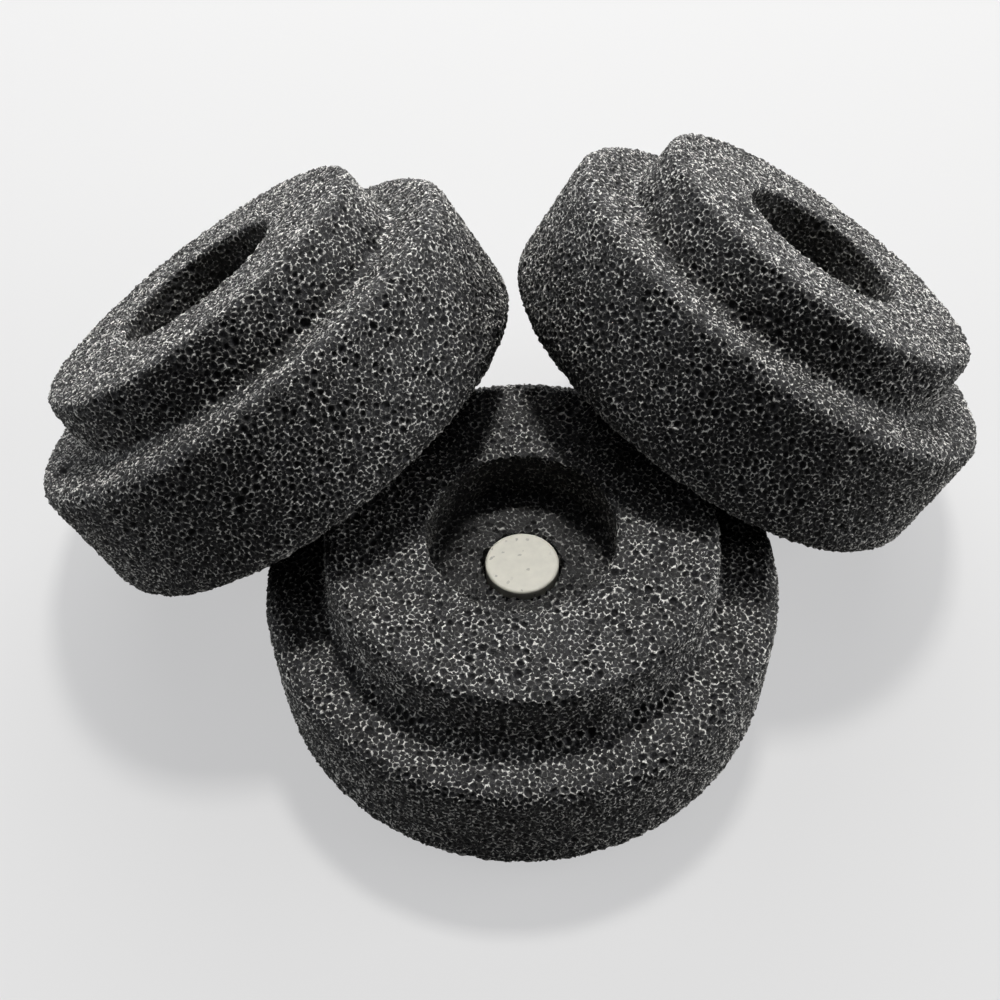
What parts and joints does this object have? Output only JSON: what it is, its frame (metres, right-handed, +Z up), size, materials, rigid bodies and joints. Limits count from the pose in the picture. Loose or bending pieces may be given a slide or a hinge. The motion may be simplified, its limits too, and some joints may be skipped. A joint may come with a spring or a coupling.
{
  "type": "sponge filter",
  "caption": "Stepped round foam filter sponges, each with a wide bore in its boss closed by a small plug; the flat one carries the leaning ones.",
  "frame": {"origin": "centre of the set's footprint on the table", "axes": "+Z up, the flat sponge is towards -Y and the leaning ones towards +Y on either side"},
  "size_m": [0.1366, 0.1056, 0.0582],
  "materials": {
    "foam": "open-cell foam",
    "plug": "smooth moulded"
  },
  "bodies": {
    "base_filter": {"base_sponge": "foam", "base_plug": "plug"},
    "left_filter": {"left_sponge": "foam", "left_plug": "plug"},
    "right_filter": {"right_sponge": "foam", "right_plug": "plug"}
  },
  "joints": [
    {"name": "left_lift", "type": "slide", "parent": "base_filter", "child": "left_filter", "axis": [0, 0, 1], "range_m": [0, 0.08]},
    {"name": "right_lift", "type": "slide", "parent": "base_filter", "child": "right_filter", "axis": [0, 0, 1], "range_m": [0, 0.08]}
  ]
}
